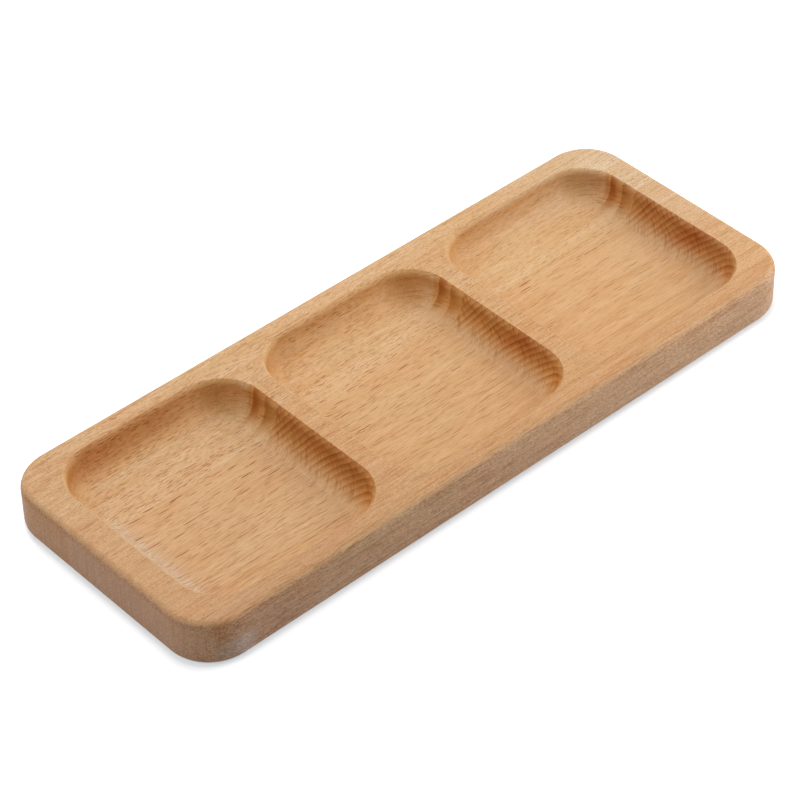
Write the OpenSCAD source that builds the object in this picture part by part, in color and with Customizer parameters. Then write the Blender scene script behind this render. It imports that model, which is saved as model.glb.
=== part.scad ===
// A wooden serving tray: two staves of beech, glued edge to edge into one board, with three
// pockets milled in a row. The origin is at the centre of the base. X runs along the tray,
// Y across it towards the back, and Z up.

/* [Board] */
// Length of the tray
tray_l = 300; // [240:1:420]
// Width of the tray
tray_w = 114.6; // [90:0.2:160]
// Thickness of the board
tray_h = 20; // [17:0.5:40]
// Radius of the corners, seen from above
corner_r = 18.6; // [8:0.2:40]
// Rounding along the top outer edge
top_round = 3.3; // [0.5:0.1:6]
// Rounding along the bottom outer edge
base_round = 3.3; // [0.5:0.1:6]

/* [Pockets] */
// How many pockets lie in a row
pocket_count = 3; // [1:1:5]
// Solid wood between the end pockets and the ends of the tray
end_margin = 12.2; // [8:0.1:40]
// Solid wood between the pockets and the long sides of the tray
side_margin = 9.1; // [7:0.1:25]
// Width of the land between two pockets
land_w = 7.8; // [4:0.1:30]
// Depth of the pockets
pocket_d = 12.5; // [8:0.1:16]
// Radius of the upright walls in the corners of a pocket, seen from above
pocket_r = 17.5; // [10:0.1:30]
// Radius of the cove between wall and floor
cove_r = 9.4; // [2:0.1:9.5]
// Rounding along the rim of a pocket
rim_round = 3.5; // [1:0.1:4]
// Wood sanded off the top face after the rims were rounded, which leaves each rim a crisp edge
sanded_off = 0.6; // [0:0.1:0.9]

/* [Glue joint] */
// Width of the back stave
back_stave_w = 40; // [15:0.5:80]
// Thickness of the glue between the two staves
glue_t = 0.15; // [0.1:0.05:0.5]

/* [Hidden] */
// Facets of round edges on screen
$fn = 96;
// How far a cut runs on past the wood
overrun = 2;
// Depth and width of the band that a rounded rim takes up
rim_depth = rim_round - sanded_off;
rim_width = rim_round - sqrt(rim_round * rim_round - rim_depth * rim_depth);
// Opening of a pocket at the top face, then between its upright walls
mouth_l = (tray_l - 2 * end_margin - (pocket_count - 1) * land_w) / pocket_count;
mouth_w = tray_w - 2 * side_margin;
wall_l = mouth_l - 2 * rim_width;
wall_w = mouth_w - 2 * rim_width;
pocket_pitch = mouth_l + land_w;
// The cove is limited by the height and the corner radius of the wall that it ends
cove = min(cove_r, pocket_d - rim_depth, pocket_r);
// Where the two glued edges lie across the tray
back_edge_y = tray_w / 2 - back_stave_w;
front_edge_y = back_edge_y - glue_t;

// What a rounding takes off a square corner that points away from the origin
module corner_waste(radius) {
    translate([-radius, -radius])
        difference() {
            square(radius + overrun);
            circle(radius);
        }
}

// Half section of the board, from the axis of a corner to the outer edge
module board_outline() {
    difference() {
        square([corner_r, tray_h]);
        translate([corner_r, tray_h])
            corner_waste(top_round);
        translate([corner_r, 0])
            mirror([0, 1])
                corner_waste(base_round);
    }
}

// Half section of a pocket, from the axis of a corner to the rim, with the top face at zero
module pocket_outline() {
    difference() {
        translate([0, -pocket_d])
            square([pocket_r, pocket_d + overrun]);
        translate([pocket_r, -pocket_d])
            mirror([0, 1])
                corner_waste(cove);
    }
    difference() {
        translate([0, -rim_depth])
            square([pocket_r + rim_width, rim_depth + overrun]);
        translate([pocket_r + rim_round, -rim_depth])
            circle(rim_round);
    }
}

// Carries a half section round a rectangle: straight along its sides, turned at its corners
module carried_round(side_l, side_w, bottom_z, top_z) {
    translate([-side_l / 2, -side_w / 2, bottom_z])
        cube([side_l, side_w, top_z - bottom_z]);
    for (half = [0, 1])
        rotate([0, 0, half * 180]) {
            translate([-side_l / 2, side_w / 2, 0])
                rotate([90, 0, 90])
                    linear_extrude(side_l)
                        children();
            translate([side_l / 2, side_w / 2, 0])
                rotate([90, 0, 0])
                    linear_extrude(side_w)
                        children();
            translate([side_l / 2, side_w / 2, 0])
                rotate_extrude(angle = 90)
                    children();
            translate([-side_l / 2, side_w / 2, 0])
                rotate([0, 0, 90])
                    rotate_extrude(angle = 90)
                        children();
        }
}

module pocket() {
    carried_round(wall_l - 2 * pocket_r, wall_w - 2 * pocket_r, -pocket_d, overrun)
        pocket_outline();
}

// The finished board before it is told apart into its staves
module milled_board() {
    difference() {
        carried_round(tray_l - 2 * corner_r, tray_w - 2 * corner_r, 0, tray_h)
            board_outline();
        for (i = [0 : pocket_count - 1])
            translate([(i - (pocket_count - 1) / 2) * pocket_pitch, 0, tray_h])
                pocket();
    }
}

// The part of the milled board that lies between two planes across the tray
module board_between(low_y, high_y) {
    intersection() {
        milled_board();
        translate([-tray_l / 2 - overrun, low_y, -overrun])
            cube([tray_l + 2 * overrun, high_y - low_y, tray_h + 2 * overrun]);
    }
}

module back_stave() {
    color("burlywood")
        board_between(back_edge_y, tray_w / 2 + overrun);
}

module front_stave() {
    color("navajowhite")
        board_between(-tray_w / 2 - overrun, front_edge_y);
}

module glue_line() {
    color("peru")
        board_between(front_edge_y, back_edge_y);
}

back_stave();
front_stave();
glue_line();
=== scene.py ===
# %% [markdown]
# A beech tray with three pockets.
# The real tray is a board glued up from two staves, rounded at its outside, with three pockets milled
# into its top. This lesson takes the same road. It starts from a blank block, rounds it, mills the
# pockets with insets, and then saws the board along its glue joint, so that each stave ends up as a
# piece of its own.
# After that it makes the wood, which is one solid texture in depth, so that every cut through it shows
# the right figure: dashes on the flat faces, year rings and rays on the end grain.

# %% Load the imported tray
from math import acos, cos, pi, radians, sin
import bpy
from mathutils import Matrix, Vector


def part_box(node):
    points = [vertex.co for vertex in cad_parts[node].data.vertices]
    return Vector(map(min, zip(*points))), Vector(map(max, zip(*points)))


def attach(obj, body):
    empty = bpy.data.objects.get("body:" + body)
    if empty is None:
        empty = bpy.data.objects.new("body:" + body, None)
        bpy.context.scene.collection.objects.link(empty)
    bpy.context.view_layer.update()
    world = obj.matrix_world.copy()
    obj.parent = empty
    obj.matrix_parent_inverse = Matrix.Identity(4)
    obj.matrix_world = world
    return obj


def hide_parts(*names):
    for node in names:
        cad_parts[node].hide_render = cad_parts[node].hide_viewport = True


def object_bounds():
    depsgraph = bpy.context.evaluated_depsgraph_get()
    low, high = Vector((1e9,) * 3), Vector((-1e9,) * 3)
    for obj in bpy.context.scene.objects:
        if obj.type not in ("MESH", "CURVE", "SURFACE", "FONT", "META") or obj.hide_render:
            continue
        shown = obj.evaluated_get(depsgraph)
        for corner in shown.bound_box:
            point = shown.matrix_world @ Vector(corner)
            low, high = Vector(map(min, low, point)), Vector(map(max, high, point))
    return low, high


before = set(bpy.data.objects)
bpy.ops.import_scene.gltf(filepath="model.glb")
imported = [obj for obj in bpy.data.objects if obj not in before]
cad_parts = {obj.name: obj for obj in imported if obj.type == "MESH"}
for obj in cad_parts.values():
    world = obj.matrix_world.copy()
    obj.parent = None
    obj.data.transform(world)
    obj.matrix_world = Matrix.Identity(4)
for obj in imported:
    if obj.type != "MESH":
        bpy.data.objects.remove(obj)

from types import SimpleNamespace

import bmesh
import bpy
from mathutils import Quaternion, Vector

cad_low, cad_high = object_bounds()
tray_size = cad_high - cad_low
print("The tray measures", [round(side * 1000, 2) for side in tray_size], "mm")

# %% [markdown]
# The camera comes first, because it decides how much detail a surface needs.
# A photograph's viewpoint can be found from what is known to be square and parallel on the object. Here
# the outline of the board and the three mouths gave the angles, the distance and the lens.
# The camera is turned in three steps, as a photographer would do it: round the tray, up, and a slight
# tilt. A quaternion that tracks the line of sight does the first two, and a small turn about that line
# does the third.

# %% Place the camera
camera_round = radians(-41.6522)
camera_rise = radians(41.4267)
camera_tilt = radians(-1.1021)
camera_reach = 1.1598161
aim_right = -0.0048012
aim_up = 0.0016925
lens_mm = 137.5727
sensor_mm = 36.0

camera_data = bpy.data.cameras.new("photo_camera")
camera_data.lens = lens_mm
camera_data.sensor_width = sensor_mm
camera = bpy.data.objects.new("photo_camera", camera_data)
bpy.context.scene.collection.objects.link(camera)

towards_camera = Vector((
    sin(camera_round) * cos(camera_rise),
    -cos(camera_round) * cos(camera_rise),
    sin(camera_rise),
))
line_of_sight = towards_camera.to_track_quat("Z", "Y")
camera.rotation_mode = "QUATERNION"
camera.rotation_quaternion = line_of_sight @ Quaternion((0, 0, 1), camera_tilt)
camera.location = camera.rotation_quaternion @ Vector((aim_right, aim_up, camera_reach))
bpy.context.scene.camera = camera
print("The camera stands at", [round(place, 3) for place in camera.location], "m")

# %% [markdown]
# Operators act on everything that is selected, and loading the tray left it selected.
# Two small helpers keep that under control. One clears the selection in object mode. The other selects
# parts of the mesh by asking a question about each of them, such as whether an edge stands upright.

# %% Helpers for selecting
HAIR = 1e-6


def clear_selection():
    """Leaves edit mode and selects nothing."""
    if bpy.context.object and bpy.context.object.mode == "EDIT":
        bpy.ops.object.mode_set(mode="OBJECT")
    bpy.ops.object.select_all(action="DESELECT")


def pick(kind, wanted):
    """In edit mode, selects the verts, edges or faces for which wanted says yes, and nothing else."""
    bpy.ops.mesh.select_mode(type={"verts": "VERT", "edges": "EDGE", "faces": "FACE"}[kind])
    bpy.ops.mesh.select_all(action="DESELECT")
    mesh = bmesh.from_edit_mesh(bpy.context.object.data)
    found = [part for part in getattr(mesh, kind) if wanted(part)]
    for part in found:
        part.select_set(True)
    mesh.select_flush_mode()
    bmesh.update_edit_mesh(bpy.context.object.data)
    return len(found)


def level_at(height):
    """A question for pick: does the whole part lie at this height?"""
    return lambda part: all(abs(corner.co.z - height) < HAIR for corner in part.verts)


print("Places closer than", HAIR * 1000, "mm count as the same")

# %% [markdown]
# The blank is the block that the two staves make when they are glued and planed to size.
# A cube is added at the block's size and place, and its size is applied, so that one unit in edit mode
# is one metre. The upright corners are rounded first and the long arrises after that, as a woodworker
# does it: the small rounding then runs round the corner in one sweep.

# %% Make the blank and round it
corner_round = 0.0186
arris_round = 0.0033
corner_steps = 28
arris_steps = 8
tray_top = cad_high.z

clear_selection()
bpy.ops.mesh.primitive_cube_add(size=1, location=(cad_low + cad_high) / 2, scale=tray_size)
board = bpy.context.object
board.name = "board"
bpy.ops.object.transform_apply(location=True, rotation=True, scale=True)

bpy.ops.object.mode_set(mode="EDIT")
upright = pick("edges", lambda edge: abs(edge.verts[0].co.z - edge.verts[1].co.z) > HAIR)
bpy.ops.mesh.bevel(offset=corner_round, segments=corner_steps, affect="EDGES")
arrises = pick("edges", lambda edge: level_at(tray_top)(edge) or level_at(0)(edge))
bpy.ops.mesh.bevel(offset=arris_round, segments=arris_steps, affect="EDGES")
print("Rounded", upright, "corners and", arrises, "edges of the arrises")

# %% [markdown]
# The mouths of the pockets are three rounded rectangles in the top face.
# A hole in a flat face is easiest to get with the fill operator, which spans the space between an
# outline and the outlines inside it. So the top face is taken out, a plane is laid where each mouth
# goes, the corners of the planes are rounded, and the land between them is filled again.
# The top face is inset by a hair first. That narrow band holds the shading of the rounded arris, which
# would otherwise spill over the flat land.

# %% Lay out the mouths
pocket_count = 3
end_margin = 0.0122
side_margin = 0.0091
land = 0.0078
pocket_corner = 0.0175
rim_round = 0.0035
sanded_off = 0.0006
mouth_steps = 28
holding_band = 0.0004

rim_start = acos(1 - sanded_off / rim_round)
rim_width = rim_round * (1 - sin(rim_start))
rim_depth = rim_round - sanded_off
mouth_corner = pocket_corner + rim_width
mouth_l = (tray_size.x - 2 * end_margin - (pocket_count - 1) * land) / pocket_count
mouth_w = tray_size.y - 2 * side_margin
pocket_pitch = mouth_l + land

pick("faces", level_at(tray_top))
bpy.ops.mesh.inset(thickness=holding_band)
bpy.ops.mesh.delete(type="ONLY_FACE")
for number in range(pocket_count):
    middle = (number - (pocket_count - 1) / 2) * pocket_pitch
    bpy.ops.mesh.primitive_plane_add(size=1, location=(middle, 0, tray_top))
    bpy.ops.transform.resize(value=(mouth_l, mouth_w, 1), center_override=(middle, 0, tray_top))
    bpy.ops.mesh.bevel(offset=mouth_corner, segments=mouth_steps, affect="VERTICES")


def mouth_face(face):
    """A question for pick: is this the face of a mouth?"""
    return level_at(tray_top)(face) and len(face.verts) > pocket_count * mouth_steps


def beside_land(edge):
    """A question for pick: does this edge border the land that is still open?"""
    return level_at(tray_top)(edge) and len(edge.link_faces) == 1


pick("edges", beside_land)
bpy.ops.mesh.fill(use_beauty=True)
mouths = pick("faces", mouth_face)
mouth_mm = (round(mouth_l * 1000, 2), round(mouth_w * 1000, 2))
print("The land is filled round", mouths, "mouths of", mouth_mm, "mm")

# %% [markdown]
# Each pocket is milled with a round-nosed cutter and its rim is sanded soft.
# Seen in section, the wall starts at a crisp edge, turns over a small round, drops, and runs out to the
# floor in a wide cove. An inset with a depth moves a face inwards and down at once, so a row of small
# insets follows that section step by step, round all four sides and corners together. A straight piece
# of wall is a plain extrude.

# %% Mill the pockets
pocket_depth = 0.0125
cove = 0.0094
rim_steps = 8
cove_steps = 18


def step_in(inwards, downwards):
    """Moves the selected faces inwards and down, and leaves a band of wall behind."""
    bpy.ops.mesh.inset(thickness=inwards, depth=-downwards, use_even_offset=True)


for step in range(rim_steps):
    turn, next_turn = (rim_start + (pi / 2 - rim_start) * count / rim_steps for count in (step, step + 1))
    step_in(rim_round * (sin(next_turn) - sin(turn)), rim_round * (cos(turn) - cos(next_turn)))
wall = pocket_depth - rim_depth - cove
bpy.ops.mesh.extrude_region_move(TRANSFORM_OT_translate={"value": (0, 0, -wall)})
for step in range(cove_steps):
    turn, next_turn = (pi / 2 * count / cove_steps for count in (step, step + 1))
    step_in(cove * (cos(turn) - cos(next_turn)), cove * (sin(next_turn) - sin(turn)))
step_in(holding_band, 0)
bpy.ops.mesh.select_all(action="SELECT")
bpy.ops.mesh.normals_make_consistent(inside=False)
bpy.ops.object.mode_set(mode="OBJECT")
floor_height = min(corner.co.z for corner in board.data.vertices if corner.co.z > arris_round + HAIR)
print("The pocket floors lie", round(floor_height * 1000, 3), "mm above the underside")

# %% [markdown]
# The board is glued up from two staves with a film of glue between them.
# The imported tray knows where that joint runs, so its two planes are read from the frame. Three copies
# of the board are made, and each is sawn with bisect. Its fill closes the cut, so that every stave
# stays a closed solid. Smooth shading by angle then keeps the crisp edges, and a weighted normal
# modifier lets the big flat faces decide how their borders are shaded.

# %% Saw the board along its glue joint
film_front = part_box("glue_line")[0].y
film_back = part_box("glue_line")[1].y
crisp_from = radians(30)


def sawn_piece(name, node, front=None, back=None):
    """A copy of the board, cut to what lies between two upright planes, in place of a CAD node."""
    clear_selection()
    board.select_set(True)
    bpy.context.view_layer.objects.active = board
    bpy.ops.object.duplicate(linked=False)
    piece = bpy.context.object
    piece.name = name
    bpy.ops.object.mode_set(mode="EDIT")
    for place, forwards in ((front, -1), (back, 1)):
        if place is not None:
            bpy.ops.mesh.select_all(action="SELECT")
            bpy.ops.mesh.bisect(
                plane_co=(0, place, 0), plane_no=(0, forwards, 0), use_fill=True, clear_outer=True
            )
    bpy.ops.object.mode_set(mode="OBJECT")
    bpy.ops.object.shade_smooth_by_angle(angle=crisp_from)
    modifier = piece.modifiers.new("flat faces lead", "WEIGHTED_NORMAL")
    modifier.keep_sharp = True
    bpy.ops.object.modifier_apply(modifier=modifier.name)
    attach(piece, "root")
    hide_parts(node)
    print(name, "has", len(piece.data.polygons), "faces")
    return piece


back_board = sawn_piece("back_board", "back_stave", front=film_back)
front_board = sawn_piece("front_board", "front_stave", back=film_front)
glue_film = sawn_piece("glue_film", "glue_line", front=film_front, back=film_back)
bpy.data.objects.remove(board)

# %% [markdown]
# A material is a net of small nodes, and drawing it in code gets hard to read when every sum takes five
# lines. So one small class wraps a socket, and the sums are written as plain Python: each plus or minus
# adds a Math node. A second class holds the material that is being made, and has the one method that
# adds any other node.

# %% Write shader sums as Python
class Wire:
    """An output socket that can be added, multiplied and so on. Each sum adds a Math node."""

    def __init__(self, finish, socket):
        self.finish = finish
        self.socket = socket

    def sum(self, operation, *terms):
        return self.finish.node("ShaderNodeMath", {"operation": operation}, dict(enumerate(terms)))

    def __add__(self, other):
        return self.sum("ADD", self, other)

    def __sub__(self, other):
        return self.sum("SUBTRACT", self, other)

    def __rsub__(self, other):
        return self.sum("SUBTRACT", other, self)

    def __mul__(self, other):
        return self.sum("MULTIPLY", self, other)

    def __truediv__(self, other):
        return self.sum("DIVIDE", self, other)

    def __pow__(self, other):
        return self.sum("POWER", self, other)

    def __abs__(self):
        return self.sum("ABSOLUTE", self)

    def or_more(self, other):
        return self.sum("MAXIMUM", self, other)

    def at_most(self, other):
        return self.sum("MINIMUM", self, other)

    __radd__ = __add__
    __rmul__ = __mul__


class Finish:
    """The nodes of a material, or of the world, in the making."""

    def __init__(self, owner):
        self.owner = owner
        owner.use_nodes = True
        self.tree = owner.node_tree
        self.tree.nodes.clear()

    def node(self, kind, settings, sockets, output=0):
        """Adds a node, sets it up, fills its sockets with values or wires, and returns an output."""
        made = self.tree.nodes.new(kind)
        for name, value in settings.items():
            setattr(made, name, value)
        for name, value in sockets.items():
            if isinstance(value, Wire):
                self.tree.links.new(value.socket, made.inputs[name])
            else:
                made.inputs[name].default_value = value
        return Wire(self, made.outputs[output]) if made.outputs else None

    def vector(self, operation, *sockets, output="Vector"):
        return self.node("ShaderNodeVectorMath", {"operation": operation}, dict(enumerate(sockets)), output)

    def part(self, vector, axis):
        """One number out of a vector: 0 is x, 1 is y, 2 is z."""
        return self.node("ShaderNodeSeparateXYZ", {}, {0: vector}, axis)

    def mix(self, share, first, second, blend="MIX"):
        """Mixes two colours."""
        settings = {"data_type": "RGBA", "blend_type": blend}
        return self.node("ShaderNodeMix", settings, {0: share, 6: first, 7: second}, 2)

    def tint(self, colour, share, stain):
        """Lays a transparent stain over a colour, by its share."""
        return self.mix(share, colour, (*stain, 1), "MULTIPLY")

    def fade(self, value, start, end):
        """A soft step from 0, where the value is at start, to 1 at end."""
        sockets = {"Value": value, "From Min": start, "From Max": end}
        return self.node("ShaderNodeMapRange", {"interpolation_type": "SMOOTHSTEP"}, sockets)

    def noise(self, place, stretch, detail=2.0, output="Fac"):
        """Noise whose grains are as long as stretch says, in millimetres."""
        cells = self.vector("DIVIDE", place, stretch)
        return self.node("ShaderNodeTexNoise", {}, {"Vector": cells, "Scale": 1.0, "Detail": detail}, output)


print("Wire does the sums and Finish adds the nodes")

# %% [markdown]
# Beech is told by three things.
# Its year rings are thin darker lines, which show best where the fibres are cut across. Its rays are
# sheets of cells that run from the heart outwards: cut along the fibres they are short brown dashes,
# cut across they are fine lines that cross the rings. Between them the fibres give a faint streak.
# All three are built in depth around the heart of the tree, which lies outside the board. So a cut at
# any angle, even the cove of a pocket, shows the figure that the real wood would show there.

# %% Helpers for growing wood
def polar(finish, place, heart):
    """How far a point lies from the heart of the tree, and its angle round it, both across the fibres."""
    across = finish.vector("SUBTRACT", place, (0, *heart))
    outwards = finish.vector("LENGTH", finish.vector("MULTIPLY", across, (0, 1, 1)), output="Value")
    return outwards, outwards.sum("ARCTAN2", finish.part(across, 2), finish.part(across, 1))


def dashes(finish, spot, cell, half_size, seed):
    """Short marks in the wood, about one in each cell. Sizes run along, outwards and sideways."""
    cells = finish.vector("ADD", finish.vector("DIVIDE", spot, cell), (seed, seed, seed))
    middles = finish.node("ShaderNodeTexVoronoi", {}, {"Vector": cells, "Scale": 1.0}, "Position")
    luck = finish.node("ShaderNodeTexWhiteNoise", {}, {"Vector": middles}, "Value")
    offset = finish.vector("SUBTRACT", cells, middles)
    reach = tuple(side / half for side, half in zip(cell, half_size))
    distance = finish.vector("LENGTH", finish.vector("MULTIPLY", offset, reach), output="Value")
    return finish.fade(distance / (luck * 0.8 + 0.4), 1.0, 0.75) * (luck * 0.5 + 0.5)


print("Rings and rays are measured from the heart of the tree")

# %% [markdown]
# The two staves come from two trees, so each has values of its own.
# The hearts were found by unrolling the far wall of a pocket in the photograph: the rings there are
# arcs, and the middle of those arcs is the heart. The front stave has narrow rings and the back stave
# wide ones. There the sharp edge of the late wood faces the heart, which a ring gap below zero does.
# The painted shade on the walls, and the late wood of the rings, start between two distances from the
# heart of the rings, and the red ring lies at a third.
# A ray cell is the room that one ray has, and a ray half is half the size of the ray itself. Places and
# sizes are in millimetres, and a heart is given by its y and z.

# %% Describe the two staves
back_tree = {
    "pale": (0.80, 0.53, 0.295, 1),
    "warm": (0.76, 0.47, 0.235, 1),
    "end_tint": (0.865, 0.75, 0.615),
    "ring_heart": (110, 0),
    "ring_gap": -6.3,
    "darkened_from": (78.6, 80.0),
    "red_ring": 84,
    "red_half": 4,
    "ray_heart": (75, -45),
    "ray_cell": (3.6, 9, 0.9),
    "ray_half": (1.7, 6, 0.11),
    "ray_waver": 0.8,
    "seed": 3.0,
}
front_tree = {
    "pale": (0.78, 0.485, 0.255, 1),
    "warm": (0.74, 0.435, 0.21, 1),
    "end_tint": (0.90, 0.88, 0.90),
    "ring_heart": (-100, -64),
    "ring_gap": 2.35,
    "darkened_from": (0, 1),
    "red_ring": 116,
    "red_half": 10,
    "ray_heart": (-77, -32),
    "ray_cell": (8, 9, 1.2),
    "ray_half": (3.4, 6, 0.08),
    "ray_waver": 0.3,
    "seed": 11.0,
}
for label, tree in (("back", back_tree), ("front", front_tree)):
    print("The", label, "stave's rings are", abs(tree["ring_gap"]), "mm apart")

# %% [markdown]
# What was done to the wood differs from place to place, and so does its colour.
# The outside is planed, the land on top is sanded, and the pocket walls are milled. Each
# of these gets a number that fades softly from 0 to 1, so that one finish runs into the next without a
# line. They come from the place of a point and from the way its surface faces: where it faces
# lengthways, the fibres are cut across. A pair of places, in millimetres, says where a fade starts and
# where it ends. Steep is such a pair too, for how far a surface faces up. The figure is sharpest near
# the camera, so a last number makes it fainter further off.

# %% Tell the parts of the tray apart
METRES_TO_MM = (1000, 1000, 1000)
PLANED_X = (139, 141)
PLANED_Y = (49, 51)
SANDED_Z = (19.3, 19.9)
POCKETS_X = (143, 139)
STEEP = (0.97, 0.45)
CAMERA_SIDE_X = (130, -130)


def look_round(finish):
    """Where a point of the tray lies, in millimetres, and what kind of surface it lies on."""
    metres = finish.node("ShaderNodeTexCoord", {}, {}, "Object")
    normal = finish.node("ShaderNodeTexCoord", {}, {}, "Normal")
    at = SimpleNamespace(place=finish.vector("MULTIPLY", metres, METRES_TO_MM))
    at.x, at.y, at.z = (finish.part(at.place, axis) for axis in range(3))
    at.lengthways, at.sideways, upwards = (finish.part(normal, axis) for axis in range(3))
    at.cut_across = abs(at.lengthways)
    at.sanded = finish.fade(at.z, *SANDED_Z)
    at.inside = finish.fade(abs(at.x), *POCKETS_X)
    rim = finish.fade(abs(at.x), *PLANED_X).or_more(finish.fade(abs(at.y), *PLANED_Y))
    at.outside = rim * finish.fade(abs(upwards), *STEEP)
    at.nearness = 0.7 + finish.fade(at.x, *CAMERA_SIDE_X) * 0.55
    return at


print("The sanded land fades in over", round(SANDED_Z[1] - SANDED_Z[0], 1), "mm below the top")

# %% [markdown]
# A year ring begins pale in spring and ends in a line of dark late wood.
# The distance from the heart, divided by the ring gap, counts the years: its whole part is the year,
# and the rest is the season. The late wood climbs through the season and drops at once. A random number
# for each year makes some rings darker than others. A slow noise keeps the rings from being true
# circles.

# %% Draw the year rings
FIRST_RING = 0.7
UNEVEN_SIZE = (400, 12, 12)
UNEVEN_YEARS = 0.4
UNROLLED = 100
THREAD_SIZE = (60, 7, 0.6)


def add_rings(finish, at, tree, bent):
    """Adds the late wood of the rings, and the fine threads of fibre that lie between them."""
    at.outwards, angle = polar(finish, bent, tree["ring_heart"])
    unevenness = finish.noise(at.place, UNEVEN_SIZE, 0.0) * UNEVEN_YEARS
    growth = at.outwards / tree["ring_gap"] + FIRST_RING + unevenness
    year = growth.sum("FLOOR", growth)
    season = growth.sum("FRACT", growth)
    luck = finish.node("ShaderNodeTexWhiteNoise", {"noise_dimensions": "1D"}, {"W": year}, "Value")
    at.late = finish.fade(season, 0.1, 0.9) * finish.fade(season, 1.0, 0.92) * (luck * 0.5 + 0.5)
    at.along_rings = finish.node("ShaderNodeCombineXYZ", {}, {0: at.x, 1: at.outwards, 2: angle * UNROLLED})
    at.threads = finish.fade(finish.noise(at.along_rings, THREAD_SIZE, 2.0), 0.5, 0.3)


print("The first ring starts", FIRST_RING, "of a year before the heart's count")

# %% [markdown]
# The rays are thin upright sheets that all point at the heart.
# On the floor of a pocket they are cut along, as dashes of 3 to 7 mm that are a fifth of a millimetre
# wide. So the dashes are scattered in a space that is rolled out round the heart, where one axis runs
# along the fibres, one outwards and one round the tree. A second, smaller set fills the gaps between
# the long ones. Sanding, and most of all at the left end, has made the rays fainter, and they are
# fainter on the outside too.

# %% Draw the rays
ROLLED_OUT = 90
WAVER_SIZE = (5, 2, 2)
SHORT_CELL = 0.55
SHORT_HALF = 0.5
SHORT_SEED = 7
LEFT_LAND_X = (-137, -142)


def add_rays(finish, at, tree, bent):
    """Adds the rays, long ones and short ones."""
    outwards, angle = polar(finish, bent, tree["ray_heart"])
    waver = (finish.noise(at.place, WAVER_SIZE, 1.0) - 0.5) * tree["ray_waver"]
    spot = finish.node("ShaderNodeCombineXYZ", {}, {0: at.x, 1: outwards, 2: angle * ROLLED_OUT + waver})
    long_rays = dashes(finish, spot, tree["ray_cell"], tree["ray_half"], tree["seed"])
    short_cell = tuple(side * SHORT_CELL for side in tree["ray_cell"])
    short_half = tuple(side * SHORT_HALF for side in tree["ray_half"])
    short_rays = dashes(finish, spot, short_cell, short_half, tree["seed"] + SHORT_SEED)
    along_fibres = 1 - finish.fade(at.cut_across, 0.03, 0.35) * 0.8
    sanded_away = at.sanded * (finish.fade(at.x, *LEFT_LAND_X) * 0.45 + 0.2)
    left_over = (1 - sanded_away) * (1 - at.outside * 0.3)
    at.rays = long_rays.or_more(short_rays * 0.7) * along_fibres * left_over * at.nearness


print("The long rays of the back stave are about", 2 * back_tree["ray_half"][0], "mm long")

# %% [markdown]
# The plain wood comes next: broad bands of a pale and a warm tone, with clouds, streaks, fibres and
# flecks over them. They are all noise, stretched along the fibres by different amounts. Each tint
# multiplies the colour below it, as a thin stain does, so the darker marks stay transparent.

# %% Colour the plain wood
BROAD_SIZE = (90, 4, 4)
CLOUD_SIZE = (30, 14, 14)
STREAK_SIZE = (25, 0.8, 0.8)
FIBRE_SIZE = (7, 0.3, 0.3)
FLECK_SIZE = (1.2, 0.25, 0.25)
CLOUD_TINT = (1.0, 0.95, 0.93)
STREAK_TINT = (0.94, 0.88, 0.80)
FIBRE_TINT = (0.84, 0.74, 0.62)
SANDED_TINT = (0.95, 0.92, 0.88)
FLECK_TINT = (0.76, 0.69, 0.60)
OUTSIDE_FLECK_TINT = (0.78, 0.75, 0.72)
OUTSIDE_STREAK_TINT = (0.88, 0.85, 0.83)


def plain_wood(finish, at, tree, bent):
    """The colour of the wood without its rings, rays and tool marks."""
    broad = finish.fade(finish.noise(bent, BROAD_SIZE, 2.0), 0.35, 0.65)
    cloud = finish.fade(finish.noise(at.place, CLOUD_SIZE, 1.0), 0.3, 0.7)
    at.fibre = finish.fade(finish.noise(bent, FIBRE_SIZE, 2.0), 0.55, 0.3)
    fleck = finish.noise(at.place, FLECK_SIZE, 1.0)
    at.streak = finish.noise(bent, STREAK_SIZE, 2.0)
    rough = at.sanded.or_more(at.outside)
    colour = finish.mix(broad * (1 - at.outside * 0.7) + at.outside * 0.35, tree["pale"], tree["warm"])
    colour = finish.tint(colour, cloud, CLOUD_TINT)
    colour = finish.tint(colour, finish.fade(at.streak, 0.55, 0.3), STREAK_TINT)
    colour = finish.tint(colour, at.fibre * at.nearness, FIBRE_TINT)
    colour = finish.tint(colour, finish.fade(at.streak, 0.5, 0.3) * at.sanded, SANDED_TINT)
    colour = finish.tint(colour, finish.fade(fleck, 0.6, 0.3) * (rough * 0.7 + 0.3), FLECK_TINT)
    colour = finish.tint(colour, finish.fade(fleck, 0.55, 0.4) * at.outside, OUTSIDE_FLECK_TINT)
    return finish.tint(colour, finish.fade(at.streak, 0.55, 0.35) * at.outside, OUTSIDE_STREAK_TINT)


print("The plain wood runs from", back_tree["pale"][:3], "to", back_tree["warm"][:3])

# %% [markdown]
# The outside of the board is tinted greyer than the rest.
# Grey on orange wood means more blue, so its tint lifts the blue most: a tint above 1 makes a place
# paler, and one below 1 makes it darker. The upper part of the sides, the two ends and the corner next
# to the camera each differ a little in the photograph. The ends are scored upright by the saw.

# %% Tint the outside
OUTSIDE_TINT = (1.13, 1.22, 1.56)
UPPER_SIDE_Z = (6, 14)
UPPER_SIDE_TINT = (0.97, 0.94, 0.89)
NEAR_CORNER_X = (-85, -125)
NEAR_CORNER_Y = (-52.5, -55.5)
NEAR_CORNER_TINT = (0.99, 0.94, 0.99)
SAW_MARK_SIZE = (1, 0.4, 20)
SAW_MARK_TINT = (0.78, 0.75, 0.73)


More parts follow.
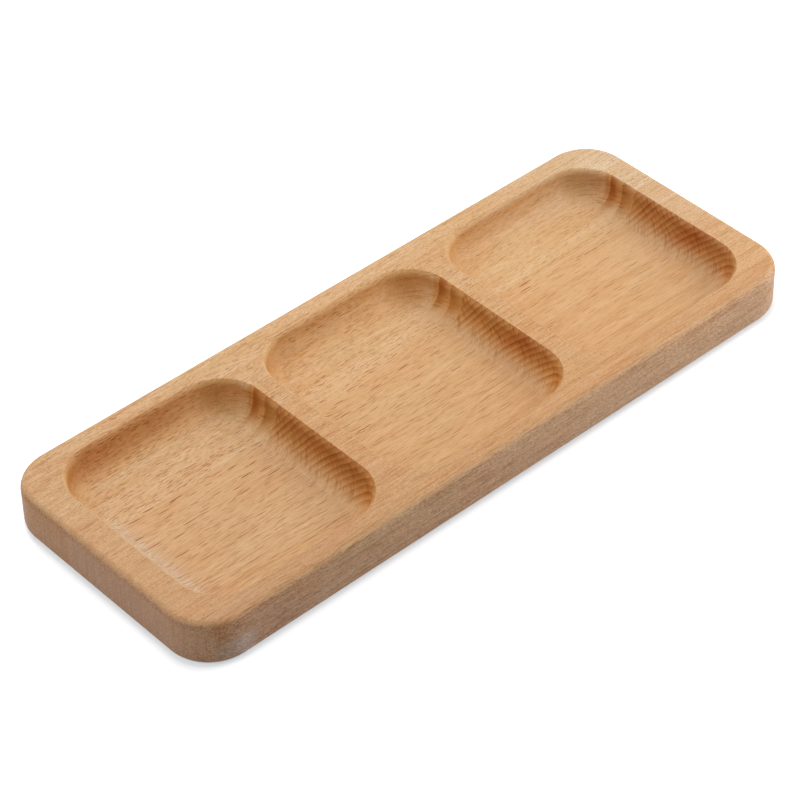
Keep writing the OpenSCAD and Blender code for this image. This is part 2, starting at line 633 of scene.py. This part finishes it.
def tint_outside(finish, at, tree, colour):
    """Tints the outside greyer, tints its upper sides, ends and near corner, and draws the saw marks on the
    ends.
    """
    upper_side = finish.fade(at.z, *UPPER_SIDE_Z) * at.outside
    near_corner = finish.fade(at.x, *NEAR_CORNER_X) * finish.fade(at.y, *NEAR_CORNER_Y) * at.outside
    end_grain = finish.fade(at.cut_across, 0.5, 0.9) * at.outside
    saw_marks = finish.fade(finish.noise(at.place, SAW_MARK_SIZE, 2.0), 0.5, 0.3)
    scored = saw_marks * finish.fade(at.cut_across, 0.1, 0.6) * at.outside
    colour = finish.tint(colour, at.outside, OUTSIDE_TINT)
    colour = finish.tint(colour, upper_side, UPPER_SIDE_TINT)
    colour = finish.tint(colour, near_corner, NEAR_CORNER_TINT)
    colour = finish.tint(colour, end_grain, tree["end_tint"])
    return finish.tint(colour, scored, SAW_MARK_TINT)


print("The ends get the tints", front_tree["end_tint"], "and", back_tree["end_tint"])

# %% [markdown]
# The land on top isn't one colour either.
# Towards the back right it has a painted sheen, a pale cool lift. It is a little darker along the front,
# most of all at the two ends of that strip, and a little paler along the back.

# %% Paint sheen on the land and tint it
SHEEN_X = (60, 150)
SHEEN_Y = (-55, 10)
SHEEN_TINT = (1.04, 1.22, 1.50)
FRONT_STRIP_Y = (-46, -50)
FRONT_STRIP_ENDS_X = (40, 120)
FRONT_STRIP_TINT = (0.93, 0.91, 0.92)
BACK_STRIP_Y = (46, 50)
BACK_STRIP_X = (-110, -80)
BACK_STRIP_TINT = (1.02, 1.06, 1.10)


def tint_land_and_paint_sheen(finish, at, colour):
    """Paints a sheen on the land towards the back right, and tints the land along the front and the back."""
    highlighted = finish.fade(at.x, *SHEEN_X) * finish.fade(at.y, *SHEEN_Y) * at.sanded
    towards_ends = finish.fade(abs(at.x), *FRONT_STRIP_ENDS_X) * 0.6 + 0.4
    front_strip = finish.fade(at.y, *FRONT_STRIP_Y) * towards_ends * at.sanded
    back_strip = finish.fade(at.y, *BACK_STRIP_Y) * finish.fade(at.x, *BACK_STRIP_X) * at.sanded
    # Painted sheen: a pale, cool lift on the land towards the back right.
    colour = finish.tint(colour, highlighted, SHEEN_TINT)
    colour = finish.tint(colour, front_strip, FRONT_STRIP_TINT)
    return finish.tint(colour, back_strip, BACK_STRIP_TINT)


print("The land is bleached from", SHEEN_X[0], "mm right of the middle on")

# %% [markdown]
# The milled pockets differ from the sanded land, and also from one wall to the next.
# The lip on the near side has a painted highlight, pale and cool. The foot of the first near wall has a
# painted sheen, with a painted glint at its very foot. The back walls are a warmer brown, and the one in
# the first pocket is the darkest of them. The pocket at the right end has a little painted shade.

# %% Tint the pocket walls and paint their light
MILLED_TINT = (0.97, 1.01, 1.01)
LAST_POCKET_X = (98, 124)
LAST_POCKET_SHADE_TINT = (0.95, 0.94, 0.96)
NEAR_LIP_Z = (16, 18.5)
NEAR_LIP_HIGHLIGHT_TINT = (1.12, 1.22, 1.32)
FOOT_Z = (13, 9)
FOOT_Y = (32, 12)
FOOT_X = (-121, -128)
FOOT_SHEEN = (0.9, 1.0, 0.95, 1)
GLINT_X = (-125.3, -128.4)
GLINT_TINT = (1.05, 1.19, 1.42)
BACK_Y = (0, 20)
BACK_WALL_X = (120, 40)
BACK_WALL_TINT = (1.07, 0.99, 0.86)
DARK_WALL_X = (-50, -95)
DARK_WALL_TINT = (0.89, 0.74, 0.61)


def tint_and_light_pockets(finish, at, colour):
    """Tints the pockets and their back walls, and paints a highlight on the near lips and the first near
    foot, and shade on the last pocket.
    """
    milled = (1 - at.sanded) * at.inside
    near_lip_highlight = finish.fade(at.lengthways, 0.05, 0.35) * finish.fade(at.z, *NEAR_LIP_Z) * at.inside
    low_front = finish.fade(at.z, *FOOT_Z) * finish.fade(at.y, *FOOT_Y) * at.inside
    foot = finish.fade(at.x, *FOOT_X) * low_front
    glint = finish.fade(at.x, *GLINT_X) * low_front * (1 - at.fibre)
    at_back = finish.fade(at.y, *BACK_Y) * at.inside
    back_wall = finish.fade(at.sideways, -0.1, -0.5) * finish.fade(at.x, *BACK_WALL_X) * at_back
    dark_wall = finish.fade(at.sideways, -0.4, -0.8) * finish.fade(at.x, *DARK_WALL_X) * at_back
    colour = finish.tint(colour, milled, MILLED_TINT)
    # Painted shade on the last pocket.
    colour = finish.tint(colour, finish.fade(at.x, *LAST_POCKET_X) * milled, LAST_POCKET_SHADE_TINT)
    # Painted highlight on the near lips.
    colour = finish.tint(colour, near_lip_highlight, NEAR_LIP_HIGHLIGHT_TINT)
    # Painted sheen, and a painted glint, at the foot of the first near wall.
    colour = finish.mix(foot * 0.08, colour, FOOT_SHEEN)
    colour = finish.tint(colour, glint, GLINT_TINT)
    colour = finish.tint(colour, back_wall, BACK_WALL_TINT)
    return finish.tint(colour, dark_wall, DARK_WALL_TINT)


print("The fuzz at the foot of the first near wall fades in over", round(GLINT_X[0] - GLINT_X[1], 1), "mm")

# %% [markdown]
# The walls where the wood is cut across, at the two ends of every pocket, get painted shade. The far
# walls face away from the lamps, and are the darkest places of the tray, orange brown, with a redder
# patch here and there. The shade is painted on the lower near walls and on the floor at the foot of each
# far wall too, and the wall at the right end is a little darker than the other two.

# %% Paint shade on the pocket walls
BELOW_RIM_Z = (17.5, 14.5)
ABOVE_FLOOR_Z = (7.2, 13.0)
WALL_SHADE_TINT = (0.89, 0.69, 0.42)
FAR_FOOT_SHADE_TINT = (0.94, 0.91, 0.83)
LAST_WALL_X = (115, 130)
LAST_WALL_SHADE_TINT = (0.92, 0.90, 0.92)
RED_PATCH_SIZE = (40, 9, 12)
RED_TINT = (0.90, 0.70, 0.55)


def paint_wall_shade(finish, at, tree, colour):
    """Paints shade on the walls where the wood is cut across, on the floor at the foot of the far walls, and
    most on the last far wall, with a redder patch.
    """
    at.bare = finish.fade(at.outwards, *tree["darkened_from"])
    far_or_deep = finish.fade(at.z, *BELOW_RIM_Z).or_more(finish.fade(at.lengthways, 0, -0.3))
    above_floor = finish.fade(at.z, *ABOVE_FLOOR_Z)
    wall = finish.fade(at.cut_across, 0.2, 0.75) * above_floor * at.inside * far_or_deep
    darkened = wall * (at.bare * 0.75 + 0.25)
    red_ring = finish.fade(abs(at.outwards - tree["red_ring"]), tree["red_half"], 0)
    red_patch = finish.fade(finish.noise(at.along_rings, RED_PATCH_SIZE, 1.0), 0.35, 0.6)
    far_foot_shade = finish.fade(at.lengthways, -0.1, -0.35) * finish.fade(at.lengthways, -0.85, -0.5) * at.inside
    # Painted shade: on the far walls and deep walls, on the floor at the far feet, and most on the last
    # wall.
    colour = finish.tint(colour, darkened, WALL_SHADE_TINT)
    colour = finish.tint(colour, far_foot_shade, FAR_FOOT_SHADE_TINT)
    colour = finish.tint(colour, darkened * finish.fade(at.x, *LAST_WALL_X), LAST_WALL_SHADE_TINT)
    return finish.tint(colour, red_ring * red_patch * darkened, RED_TINT)


print("The back stave is scorched from", back_tree["darkened_from"][1], "mm off its heart")

# %% [markdown]
# The year rings stand on the far walls as dark arcs with fine threads between them. On the flat faces
# they hardly show. On the near walls, which the photograph doesn't show, they are kept fainter, because
# strong rings looked like ribs there.

# %% Bring out the rings
RING_TINT = (0.62, 0.41, 0.12)
THREAD_TINT = (0.78, 0.66, 0.48)


def bring_out_rings(finish, at, colour):
    """Draws the late wood and the threads, where the wood is cut across."""
    fainter = 1 - finish.fade(at.lengthways, 0, 0.3) * 0.7
    rings_show = finish.fade(at.cut_across, 0.15, 0.95) * at.inside * fainter * 0.92 + 0.08
    threads_show = finish.fade(at.cut_across, 0.1, 0.5) * at.inside * fainter
    colour = finish.tint(colour, at.late * rings_show * at.bare, RING_TINT)
    return finish.tint(colour, at.threads * threads_show, THREAD_TINT)


print("A full ring leaves", RING_TINT, "of the colour below it")

# %% [markdown]
# Now the parts come together into one material for each stave.
# A tree doesn't grow straight, so the place is swayed by a slow noise before the figure is drawn in it,
# the rings less than the rest. The rays go on last, as they are the darkest and sharpest marks. A faint
# bump along the streaks breaks up the sheen, and the rays are a little rougher than the wood round
# them.

# %% Grow the wood
RAY_BROWN = (0.42, 0.17, 0.03)
SWAY_SIZE = (120, 30, 30)
SWAY = (0, 4, 4)
RING_SWAY = (0, 1.5, 1.5)
BUMP_METRES = 0.00005
BUMP_STRENGTH = 0.25


def beech(name, tree):
    """The material of a stave."""
    finish = Finish(bpy.data.materials.new(name))
    at = look_round(finish)
    sway = finish.vector("SUBTRACT", finish.noise(at.place, SWAY_SIZE, 1.0, "Color"), (0.5, 0.5, 0.5))
    bent = finish.vector("ADD", at.place, finish.vector("MULTIPLY", sway, SWAY))
    less_bent = finish.vector("ADD", at.place, finish.vector("MULTIPLY", sway, RING_SWAY))
    add_rings(finish, at, tree, less_bent)
    add_rays(finish, at, tree, bent)
    colour = plain_wood(finish, at, tree, bent)
    colour = tint_outside(finish, at, tree, colour)
    colour = tint_land_and_paint_sheen(finish, at, colour)
    colour = tint_and_light_pockets(finish, at, colour)
    colour = paint_wall_shade(finish, at, tree, colour)
    colour = bring_out_rings(finish, at, colour)
    height = at.streak * 0.5 - at.rays * 0.3
    bump_sockets = {"Strength": BUMP_STRENGTH, "Distance": BUMP_METRES, "Height": height}
    wood = finish.node("ShaderNodeBsdfPrincipled", {}, {
        "Base Color": finish.tint(colour, at.rays, RAY_BROWN),
        "Roughness": 0.55 + at.rays * 0.15,
        "Normal": finish.node("ShaderNodeBump", {}, bump_sockets),
        "Specular IOR Level": 0.3,
    })
    finish.node("ShaderNodeOutputMaterial", {}, {"Surface": wood})
    print(name, "has", len(finish.tree.nodes), "nodes")
    return finish.owner


def dress(piece, material):
    """Gives a piece one material and no other."""
    piece.data.materials.clear()
    piece.data.materials.append(material)


dress(back_board, beech("beech_back_stave", back_tree))
dress(front_board, beech("beech_front_stave", front_tree))

# %% [markdown]
# Wood glue sets to a thin film in nearly the colour of the wood.
# Only its edge shows, as a line as fine as a hair between the staves, so it needs no more than a little
# unevenness along its length.

# %% Colour the glue
GLUE_DARK = (0.58, 0.35, 0.18, 1)
GLUE_PALE = (0.70, 0.45, 0.25, 1)

glue = Finish(bpy.data.materials.new("set_glue"))
glue_place = glue.vector("MULTIPLY", glue.node("ShaderNodeTexCoord", {}, {}, "Object"), METRES_TO_MM)
glue_share = glue.fade(glue.noise(glue_place, (6, 1, 1)), 0.35, 0.65)
glue_colour = glue.mix(glue_share, GLUE_DARK, GLUE_PALE)
glue_shader = glue.node("ShaderNodeBsdfPrincipled", {}, {"Base Color": glue_colour, "Roughness": 0.5})
glue.node("ShaderNodeOutputMaterial", {}, {"Surface": glue_shader})
dress(glue_film, glue.owner)
print("The glue has", len(glue.tree.nodes), "nodes")

# %% [markdown]
# The floor is a sheet of white paper.
# A white background should not come from more light on the tray. So the paper is lit like everything
# else, which gives it the tray's own soft shadow, and on top of that it shines a little towards the
# camera and whatever mirrors it. Next to the tray it shines least, where the shadow has to show, and
# further out it reaches full white. How far out a point lies is measured from the tray's rounded
# outline: the corner of the outline is taken off both sides, and what is left beside it is the distance
# to the middle of the rounding. The square root makes the glow climb fast at first and slowly later, as
# the edge of a soft shadow does. The lamps reach the paper better on the right, so there it shines
# less.

# %% Lay the floor
floor_width = 8
paper_white = 0.7
glow_at_left = (0.46, 0.495, 0.52, 1)
glow_at_right = (0.34, 0.375, 0.40, 1)
glow_turns = (-0.12, 0.08)
glow_reach = 0.012


def watched(finish):
    """1 for a ray that the camera sends, straight or by way of a mirror or glass, and 0 for the rest."""
    kinds = ("Is Camera Ray", "Is Glossy Ray", "Is Transmission Ray")
    camera_ray, glossy_ray, glass_ray = (finish.node("ShaderNodeLightPath", {}, {}, kind) for kind in kinds)
    return (camera_ray + glossy_ray + glass_ray).at_most(1.0)


clear_selection()
bpy.ops.mesh.primitive_plane_add(size=floor_width, location=(0, 0, 0))
floor = bpy.context.object
floor.name = "paper_floor"
paper = Finish(bpy.data.materials.new("white_paper"))
paper_place = paper.node("ShaderNodeTexCoord", {}, {}, "Object")
straight = (tray_size.x / 2 - corner_round, tray_size.y / 2 - corner_round, 0)
beside = paper.vector("SUBTRACT", paper.vector("ABSOLUTE", paper_place), straight)
from_middle = paper.vector("LENGTH", paper.vector("MAXIMUM", beside, (0, 0, 0)), output="Value")
far_out = (((from_middle - corner_round) / glow_reach).or_more(0.0) ** 0.5).at_most(1.0)
glow_at_tray = paper.mix(paper.fade(paper.part(paper_place, 0), *glow_turns), glow_at_left, glow_at_right)
glow = paper.mix(watched(paper), (0, 0, 0, 1), paper.mix(far_out, glow_at_tray, (1, 1, 1, 1)))
sheet = paper.node("ShaderNodeBsdfPrincipled", {}, {
    "Base Color": (paper_white, paper_white, paper_white, 1),
    "Roughness": 1.0,
    "Specular IOR Level": 0.0,
    "Emission Color": glow,
    "Emission Strength": 1.0,
})
paper.node("ShaderNodeOutputMaterial", {}, {"Surface": sheet})
dress(floor, paper.owner)
print("The floor is", round(floor.dimensions.x, 2), "m wide")

# %% [markdown]
# The light is that of a small studio.
# Five round softboxes stand round the tray. Their strengths were found from the photograph: a plain
# tray was rendered under each lamp alone, and the mix that best gave the brightness of the lands,
# floors, walls and sides was kept. The two strongest stand behind the tray and on its left, so the near
# ends and sides fall into soft shade. A lamp is aimed like the camera, with a quaternion that tracks
# the line from the tray to the lamp. Its angle runs round from the front by way of the right, in
# degrees, and its reach and width are in metres.

# %% Hang the lamps
def softbox(name, round_deg, rise_deg, reach, width, watts):
    """A round soft lamp that faces the tray."""
    data = bpy.data.lights.new(name, "AREA")
    data.shape = "DISK"
    data.size = width
    data.energy = watts
    lamp = bpy.data.objects.new(name, data)
    bpy.context.scene.collection.objects.link(lamp)
    turn, rise = radians(round_deg), radians(rise_deg)
    outwards = Vector((sin(turn) * cos(rise), -cos(turn) * cos(rise), sin(rise)))
    lamp.location = outwards * reach
    lamp.rotation_mode = "QUATERNION"
    lamp.rotation_quaternion = outwards.to_track_quat("Z", "Y")
    print(name, "gives", watts, "W")


softbox("key_softbox", 180, 65, 0.55, 0.35, 1.38)
softbox("back_softbox", 180, 40, 0.8, 0.45, 1.31)
softbox("left_softbox", 270, 40, 0.8, 0.45, 1.46)
softbox("right_softbox", 65, 40, 0.6, 0.35, 1.13)
softbox("low_right_softbox", 45, 25, 0.6, 0.35, 0.99)

room = Finish(bpy.data.worlds.new("white_room"))
backdrop = room.node("ShaderNodeBackground", {}, {"Color": (1, 1, 1, 1), "Strength": watched(room)})
room.node("ShaderNodeOutputWorld", {}, {"Surface": backdrop})
bpy.context.scene.world = room.owner
bpy.context.scene.view_settings.view_transform = "Standard"
print("The colours are shown with", bpy.context.scene.view_settings.view_transform)
